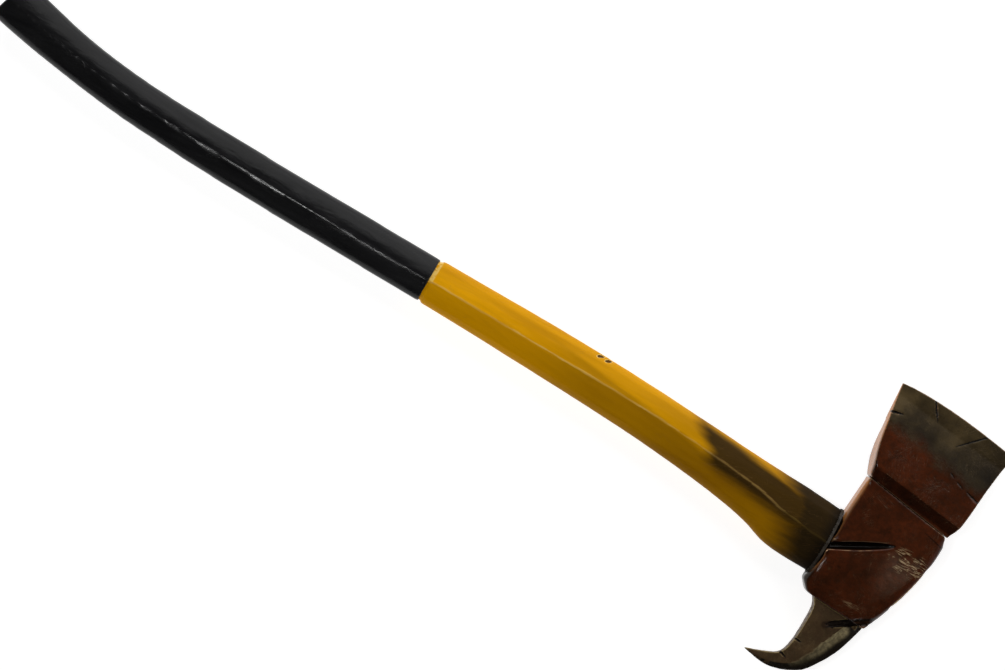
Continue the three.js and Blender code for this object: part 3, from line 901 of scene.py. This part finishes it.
def makePickMaterial():
    look = pickFinish
    material, tree, surface, place = startMaterial("pickSteel")
    axes = designAxes(tree, place)
    patches = useGroup(tree, mottle, Vector=place, Scale=48.0, Contrast=1.0)
    edges = edgeWear(tree, place, 0.7, 0.34, 150.0)
    lines = hairLines(tree, place, 75.0, 0.6)
    colour = blend(tree, patches["Patches"], look["dark"], look["light"])
    colour = blend(tree, times(tree, patches["Grain"], 0.45), colour, look["brown"])
    colour = blend(tree, times(tree, lines, 0.5), colour, look["rubbed"])
    colour = blend(tree, times(tree, edges["Rubbed"], 0.7), colour, look["rubbed"])
    # painted shade on the bevel, which faces away from the light, with a painted highlight where it
    # starts
    back = attribute(tree, "back")
    colour = blend(tree, times(tree, ramp(tree, back, 0.45, 0.95), 0.93), colour, look["bevel"])
    lit = times(tree, ramp(tree, back, 0.05, 0.5), ramp(tree, attribute(tree, "lip"), 0.15, 0.75))
    lit = times(tree, lit, spread(tree, patches["Grain"], 0.5, 0.9))
    lit = times(tree, lit, ramp(tree, axes["Y"], -98.0, -66.0, 0.35, 1.0))
    colour = blend(tree, lit, colour, look["lip"])
    colour = blend(tree, times(tree, attribute(tree, "scoop"), 0.8), colour, headFinish["bruise"])
    colour = blend(tree, edges["Hollows"], colour, look["hollow"])
    colour = blend(tree, attribute(tree, "cut"), colour, look["cut"])
    join(tree, colour, surface.inputs["Base Color"])
    join(tree, spread(tree, patches["Patches"], *look["metallic"]), surface.inputs["Metallic"])
    join(tree, spread(tree, patches["Grain"], *look["roughness"]), surface.inputs["Roughness"])
    height = timesPlus(tree, lines, -0.8, noise(tree, place, 380.0, 6, 0.7))
    join(tree, bump(tree, height, *look["relief"]), surface.inputs["Normal"])
    surface.inputs["Specular IOR Level"].default_value = look["specular"]
    return material


# Places on the handle are where a ramp starts and ends, in the drawing's millimetres.
handleFinish = {
    "paint": srgb(246, 175, 0),
    "paintDeep": srgb(190, 126, 0),
    "paintGrimy": srgb(104, 68, 4),
    "stain": srgb(40, 31, 17),
    "stainDark": srgb(26, 21, 12),
    "seam": srgb(20, 16, 11),
    # painted highlight along the ridges, and also the cream rim of chips
    "ridgeHighlightAndChipRim": srgb(255, 216, 118),
    "chip": srgb(96, 64, 16),
    "bareWood": srgb(226, 196, 142),
    "grainAndDullHighlight": srgb(150, 112, 66),
    "ridgeSlope": -0.126,
    "ridgeHeight": -6.5,
    "acrossSway": 14.0,
    "alongSway": 50.0,
    "grimeFrom": (-340.0, -260.0),
    "hazeFrom": (-250.0, -170.0),
    "streakFrom": (-170.0, -146.0),
    "stainFrom": (-104.0, -60.0),
    "ridgeEnds": (-75.0, -95.0),
    "seamFrom": (-50.0, -37.0),
    "bareFrom": (-26.0, -22.0),
    "fleckAcross": (18.0, 21.0),
    "fleckAlong": (-422.6, -421.2),
    "roughness": (0.26, 0.36),
    "specular": 0.05,
    "relief": (0.22, 0.001),
}


def soilHandle(tree, lengthwise, axes, colour):
    # dirt under the ridge, along it, and all round where the hand meets the head
    look = handleFinish
    above = minus(tree, axes["Y"], timesPlus(tree, axes["X"], look["ridgeSlope"], look["ridgeHeight"]))
    above = plus(tree, above, times(tree, sway(tree, lengthwise, 70.0, 5, 0.6), look["acrossSway"]))
    reach = timesPlus(tree, sway(tree, lengthwise, 60.0, 4), look["alongSway"], axes["X"])
    under = times(tree, ramp(tree, above, -4.0, 1.0, 1.0, 0.0), ramp(tree, reach, *look["grimeFrom"]))
    colour = blend(tree, times(tree, under, 0.4), colour, look["paintGrimy"])
    streak = times(tree, ramp(tree, above, -15.0, -1.0), ramp(tree, above, 15.0, 22.0, 1.0, 0.0))
    start = timesPlus(tree, above, 1.3, reach)
    streak = times(tree, streak, ramp(tree, start, *look["streakFrom"]))
    around = ramp(tree, timesPlus(tree, above, 0.45, reach), *look["stainFrom"])
    stain = larger(tree, times(tree, streak, 0.95), around)
    spots = ramp(tree, noise(tree, lengthwise, 140.0, 6, 0.7), 0.35, 0.65)
    dirtAndShade = blend(tree, spots, look["stain"], look["stainDark"])
    haze = ramp(tree, reach, *look["hazeFrom"], 0.0, 0.3)
    colour = blend(tree, haze, colour, look["paintGrimy"])
    colour = blend(tree, times(tree, stain, 0.97), colour, dirtAndShade)
    seam = timesPlus(tree, minus(tree, reach, axes["X"]), 0.3, axes["X"])
    seam = times(tree, ramp(tree, seam, *look["seamFrom"]), 0.8)
    colour = blend(tree, seam, colour, look["seam"])
    smudge = ramp(tree, noise(tree, lengthwise, 45.0, 6, 0.7), 0.58, 0.75)
    return blend(tree, times(tree, smudge, 0.3), colour, look["stain"]), stain


def ridgeHighlightAndFlecks(tree, place, lengthwise, axes, stain, colour):
    # a painted highlight along the ridge of each side, weaker under the dirt, where a dull brown
    # painted highlight takes over
    look = handleFinish
    jagged = sway(tree, lengthwise, 520.0, 4, 0.7)
    line = timesPlus(tree, jagged, 0.9, attribute(tree, "ridge"))
    patchy = ramp(tree, noise(tree, lengthwise, 60.0, 3), 0.38, 0.58, 0.2, 0.95)
    ridgeHighlight = times(tree, ramp(tree, line, 0.6, 0.78), patchy)
    ridgeHighlight = times(tree, ridgeHighlight, timesPlus(tree, stain, -0.9, 1.0))
    dullRidgeHighlight = times(tree, ramp(tree, line, 0.35, 0.9), times(tree, stain, 0.38))
    dullRidgeHighlight = times(tree, dullRidgeHighlight, ramp(tree, axes["X"], *look["ridgeEnds"]))
    colour = blend(tree, dullRidgeHighlight, colour, look["grainAndDullHighlight"])
    # and chipped where it comes out of the grip
    fleck = times(tree, ramp(tree, axes["X"], *look["fleckAlong"], 0.85, 0.0),
                  ramp(tree, axes["Y"], *look["fleckAcross"]))
    fleck = times(tree, fleck, ramp(tree, noise(tree, place, 260.0, 4, 0.7), 0.42, 0.52))
    return blend(tree, larger(tree, ridgeHighlight, fleck), colour, look["ridgeHighlightAndChipRim"])


def makeHandleMaterial():
    look = handleFinish
    material, tree, surface, place = startMaterial("handlePaint")
    axes = designAxes(tree, place)
    lengthwise = mapped(tree, place, scale=(0.12, 1.0, 1.0))
    patches = useGroup(tree, mottle, Vector=lengthwise, Scale=60.0, Contrast=0.7)
    edges = edgeWear(tree, place, 0.74, 0.3, 70.0)
    lines = hairLines(tree, mapped(tree, place, scale=(0.6, 1.0, 1.0)), 40.0, 0.6)
    colour = blend(tree, times(tree, patches["Patches"], 0.55), look["paint"], look["paintDeep"])
    colour, stain = soilHandle(tree, lengthwise, axes, colour)
    colour = blend(tree, times(tree, lines, 0.45), colour, look["grainAndDullHighlight"])
    # bare wood on worn edges and on the tongue in the eye
    grain = noise(tree, mapped(tree, place, scale=(0.05, 1.0, 1.0)), 700.0, 3, 0.6)
    wood = blend(tree, ramp(tree, grain, 0.35, 0.65), look["bareWood"], look["grainAndDullHighlight"])
    bare = ramp(tree, axes["X"], *look["bareFrom"])
    colour = blend(tree, larger(tree, bare, times(tree, edges["Rubbed"], 0.5)), colour, wood)
    # chips, brown within a cream rim
    cut = attribute(tree, "cut")
    colour = blend(tree, ramp(tree, cut, 0.02, 0.2), colour, look["ridgeHighlightAndChipRim"])
    colour = blend(tree, ramp(tree, cut, 0.3, 0.7), colour, look["chip"])
    colour = ridgeHighlightAndFlecks(tree, place, lengthwise, axes, stain, colour)
    join(tree, colour, surface.inputs["Base Color"])
    rough = spread(tree, patches["Grain"], *look["roughness"])
    rough = timesPlus(tree, stain, 0.16, rough)
    join(tree, timesPlus(tree, bare, 0.3, rough, clamp=True), surface.inputs["Roughness"])
    ripple = noise(tree, mapped(tree, place, scale=(0.22, 1.0, 1.0)), 180.0, 4, 0.6)
    height = timesPlus(tree, lines, -0.3, ripple)
    join(tree, bump(tree, height, *look["relief"]), surface.inputs["Normal"])
    surface.inputs["Specular IOR Level"].default_value = look["specular"]
    return material


gripFinish = {
    "dark": srgb(21, 21, 22),
    "light": srgb(36, 36, 37),
    "rubbed": srgb(90, 90, 88),
    "roughness": (0.12, 0.24),
    "specular": 0.17,
    "relief": (0.2, 0.002),
}


def makeGripMaterial():
    look = gripFinish
    material, tree, surface, place = startMaterial("gripRubber")
    lengthwise = mapped(tree, place, scale=(0.16, 1.0, 1.0))
    patches = useGroup(tree, mottle, Vector=lengthwise, Scale=70.0, Contrast=0.7)
    edges = edgeWear(tree, place, 0.72, 0.3, 80.0)
    lines = hairLines(tree, mapped(tree, place, scale=(0.5, 1.0, 1.0)), 45.0, 0.5)
    colour = blend(tree, patches["Patches"], look["dark"], look["light"])
    colour = blend(tree, times(tree, lines, 0.2), colour, look["rubbed"])
    colour = blend(tree, times(tree, edges["Rubbed"], 0.25), colour, look["rubbed"])
    join(tree, colour, surface.inputs["Base Color"])
    join(tree, spread(tree, patches["Grain"], *look["roughness"]), surface.inputs["Roughness"])
    wrinkles = noise(tree, mapped(tree, place, scale=(0.3, 1.0, 1.0)), 90.0, 5, 0.6, 0.4)
    height = timesPlus(tree, lines, -0.15, wrinkles)
    join(tree, bump(tree, height, *look["relief"]), surface.inputs["Normal"])
    surface.inputs["Specular IOR Level"].default_value = look["specular"]
    return material


sealFinish = {
    "dark": srgb(26, 21, 14),
    "light": srgb(72, 60, 42),
    "grain": srgb(24, 19, 13),
    "roughness": (0.4, 0.7),
    "relief": (0.5, 0.0008),
}


def makeSealMaterial():
    look = sealFinish
    material, tree, surface, place = startMaterial("sealFiller")
    patches = useGroup(tree, mottle, Vector=place, Scale=150.0, Contrast=1.0)
    colour = blend(tree, patches["Patches"], look["dark"], look["light"])
    colour = blend(tree, times(tree, patches["Grain"], 0.5), colour, look["grain"])
    join(tree, colour, surface.inputs["Base Color"])
    join(tree, spread(tree, patches["Patches"], *look["roughness"]), surface.inputs["Roughness"])
    height = noise(tree, place, 600.0, 5, 0.7)
    join(tree, bump(tree, height, *look["relief"]), surface.inputs["Normal"])
    return material


wedgeFinish = {
    "woodLight": srgb(196, 158, 104),
    "woodDark": srgb(126, 92, 52),
    "woodStain": srgb(84, 62, 40),
    "woodRoughness": (0.6, 0.8),
    "woodRelief": (0.4, 0.0005),
    "steelLight": srgb(118, 114, 106),
    "steelDark": srgb(74, 62, 48),
    "steelScratch": srgb(190, 188, 182),
    "steelMetallic": 0.85,
    "steelRoughness": (0.35, 0.6),
    "steelRelief": (0.4, 0.0004),
}


def makeWedgeWood():
    look = wedgeFinish
    material, tree, surface, place = startMaterial("wedgeWood")
    patches = useGroup(tree, mottle, Vector=place, Scale=90.0, Contrast=0.8)
    rings = noise(tree, mapped(tree, place, scale=(0.1, 1.0, 1.0)), 900.0, 3, 0.6)
    colour = blend(tree, ramp(tree, rings, 0.35, 0.65), look["woodLight"], look["woodDark"])
    colour = blend(tree, times(tree, patches["Patches"], 0.4), colour, look["woodStain"])
    join(tree, colour, surface.inputs["Base Color"])
    join(tree, spread(tree, patches["Grain"], *look["woodRoughness"]), surface.inputs["Roughness"])
    join(tree, bump(tree, rings, *look["woodRelief"]), surface.inputs["Normal"])
    return material


def makeWedgeSteel():
    look = wedgeFinish
    material, tree, surface, place = startMaterial("wedgeSteel")
    patches = useGroup(tree, mottle, Vector=place, Scale=160.0, Contrast=0.9)
    lines = hairLines(tree, place, 140.0, 0.8)
    colour = blend(tree, patches["Patches"], look["steelLight"], look["steelDark"])
    colour = blend(tree, times(tree, lines, 0.6), colour, look["steelScratch"])
    join(tree, colour, surface.inputs["Base Color"])
    surface.inputs["Metallic"].default_value = look["steelMetallic"]
    join(tree, spread(tree, patches["Grain"], *look["steelRoughness"]), surface.inputs["Roughness"])
    join(tree, bump(tree, lines, *look["steelRelief"]), surface.inputs["Normal"])
    return material


def paint(piece, material):
    piece.data.materials.clear()
    piece.data.materials.append(material)


paint(makeEyeBody(), makeHeadMaterial("bodyPaint", isBit=False))
print("axe body made")
paint(makeBit(), makeHeadMaterial("bitPaint", isBit=True))
print("bit made")
paint(makePick(), makePickMaterial())
print("pick made")
paint(makeHandle(), makeHandleMaterial())
print("handle made")
paint(makeGrip(), makeGripMaterial())
print("grip made")
paint(makeSeal(), makeSealMaterial())
print("seal made")

wedgeSteel = makeWedgeSteel()
wedgeMaterials = {"kerf_wedge": makeWedgeWood(), "steel_wedge_upper": wedgeSteel,
                  "steel_wedge_lower": wedgeSteel}
for name, material in wedgeMaterials.items():
    for slot in nodes[name].material_slots:
        slot.material = material
print("wedges painted")


# Floor, lights and camera.

studio = {
    "lens": 65.13,
    "height": 1.5,
    "turn": 30.2,
    "aim": (-350.6, 12.0),
    "sensor": 36,
    "floorSize": 12,
    "floorLevel": -0.4,  # millimetres
    "floorShade": (0.5, 0.5, 0.5, 1),
    "floorRoughness": 0.8,
    "floorGlow": 0.84,
    "warmTint": (0.15, 0.38),  # taken off the green and the blue of a warm light
    "lights": [  # place, aim, width, height, watts, warmth
        ((-655, -190, 1350), (-500, 0, 0), 0.71, 0.06, 2.9, 0),
        ((-790, -197, 1350), (-570, 0, 0), 0.2, 0.03, 2.2, 0),
        ((617, -60, 1350), (30, 14, 0), 0.2, 0.02, 0.36, 1),
        ((-350, 1545, 820), (-350, 20, 0), 3.2, 1.5, 26.0, 0),
        ((900, 100, 500), (0, 30, 0), 0.7, 0.5, 0.6, 0),
    ],
    "skyTop": 0.0015,
    "skyFoot": 0.8,
    "skyRise": (0.04, 0.2),
}


def makeFloorMaterial():
    material, _, surface, _ = startMaterial("paleFloor")
    surface.inputs["Base Color"].default_value = studio["floorShade"]
    surface.inputs["Roughness"].default_value = studio["floorRoughness"]
    surface.inputs["Emission Color"].default_value = (1, 1, 1, 1)
    surface.inputs["Emission Strength"].default_value = studio["floorGlow"]
    return material


def makeStudio():
    bpy.ops.object.select_all(action="DESELECT")
    floorPlace = (0, 0, studio["floorLevel"] * mm)
    bpy.ops.mesh.primitive_plane_add(size=studio["floorSize"], location=floorPlace)
    floor = bpy.context.object
    floor.name = "studioFloor"
    paint(floor, makeFloorMaterial())
    lessGreen, lessBlue = studio["warmTint"]
    for place, aim, width, height, watts, warmth in studio["lights"]:
        lamp = bpy.data.lights.new("softbox", "AREA")
        lamp.shape = "RECTANGLE"
        lamp.size = width
        lamp.size_y = height
        lamp.energy = watts
        lamp.color = (1.0, 1.0 - lessGreen * warmth, 1.0 - lessBlue * warmth)
        light = bpy.data.objects.new("softbox", lamp)
        light.location = at(*place)
        light.rotation_euler = (at(*aim) - at(*place)).to_track_quat("-Z", "Y").to_euler()
        bpy.context.collection.objects.link(light)
    world = bpy.data.worlds.new("studioSky")
    world.use_nodes = True
    # a sky that is bright at its foot and dark overhead
    tree = world.node_tree
    direction = tree.nodes.new("ShaderNodeTexCoord").outputs["Generated"]
    up = addNode(tree, "ShaderNodeSeparateXYZ", {"Vector": direction})
    glow = ramp(tree, up.outputs["Z"], *studio["skyRise"], studio["skyFoot"], studio["skyTop"])
    background = tree.nodes["Background"]
    background.inputs["Color"].default_value = (1, 1, 1, 1)
    join(tree, glow, background.inputs["Strength"])
    scene = bpy.context.scene
    scene.world = world
    scene.view_settings.view_transform = "Standard"
    lens = bpy.data.cameras.new("studioCamera")
    lens.lens = studio["lens"]
    lens.sensor_width = studio["sensor"]
    camera = bpy.data.objects.new("studioCamera", lens)
    camera.location = at(*studio["aim"]) + Vector((0, 0, studio["height"]))
    camera.rotation_euler = (0, 0, radians(studio["turn"]))
    bpy.context.collection.objects.link(camera)
    scene.camera = camera


makeStudio()
print("studio ready")
